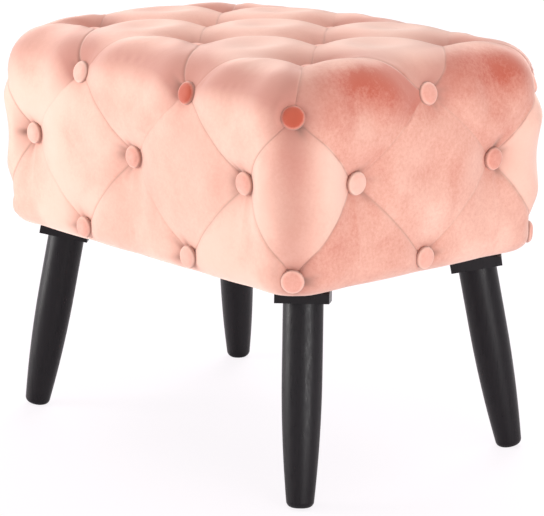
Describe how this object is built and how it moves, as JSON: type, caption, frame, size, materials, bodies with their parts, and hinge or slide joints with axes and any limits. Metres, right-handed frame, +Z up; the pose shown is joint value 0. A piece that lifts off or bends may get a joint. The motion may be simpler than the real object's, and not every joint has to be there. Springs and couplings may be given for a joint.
{
  "type": "tufted footstool",
  "caption": "Button-tufted velvet footstool: a padded plywood box seat on turned, splayed wooden legs.",
  "frame": {"origin": "on the floor, under the middle of the seat", "axes": "+X along the seat's longer side, +Y from front to back, +Z up"},
  "size_m": [0.4932, 0.3612, 0.428],
  "materials": {
    "velvet": "blush pink velvet",
    "button_velvet": "buttons covered in the same velvet",
    "foam": "open-cell foam",
    "plywood": "raw plywood",
    "softwood": "planed softwood",
    "black_lacquer": "satin black lacquer",
    "dust_cloth": "black non-woven cloth",
    "steel": "zinc plated"
  },
  "bodies": {
    "root": {"velvet_cover": "velvet", "top_buttons": "button_velvet", "upper_edge_buttons": "button_velvet", "side_buttons": "button_velvet", "lower_edge_buttons": "button_velvet", "button_shanks": "steel", "top_foam": "foam", "front_foam": "foam", "back_foam": "foam", "left_foam": "foam", "right_foam": "foam", "deck_panel": "plywood", "base_board": "plywood", "front_panel": "plywood", "back_panel": "plywood", "left_panel": "plywood", "right_panel": "plywood", "corner_post_front_left": "softwood", "corner_post_front_right": "softwood", "corner_post_back_left": "softwood", "corner_post_back_right": "softwood", "frame_screws": "steel", "dust_cover": "dust_cloth", "leg_plate_front_left": "black_lacquer", "leg_front_left": "black_lacquer", "leg_plate_front_right": "black_lacquer", "leg_front_right": "black_lacquer", "leg_plate_back_left": "black_lacquer", "leg_back_left": "black_lacquer", "leg_plate_back_right": "black_lacquer", "leg_back_right": "black_lacquer", "leg_plate_screws": "steel", "leg_plate_inserts": "steel", "hanger_bolts": "steel"}
  },
  "joints": []
}
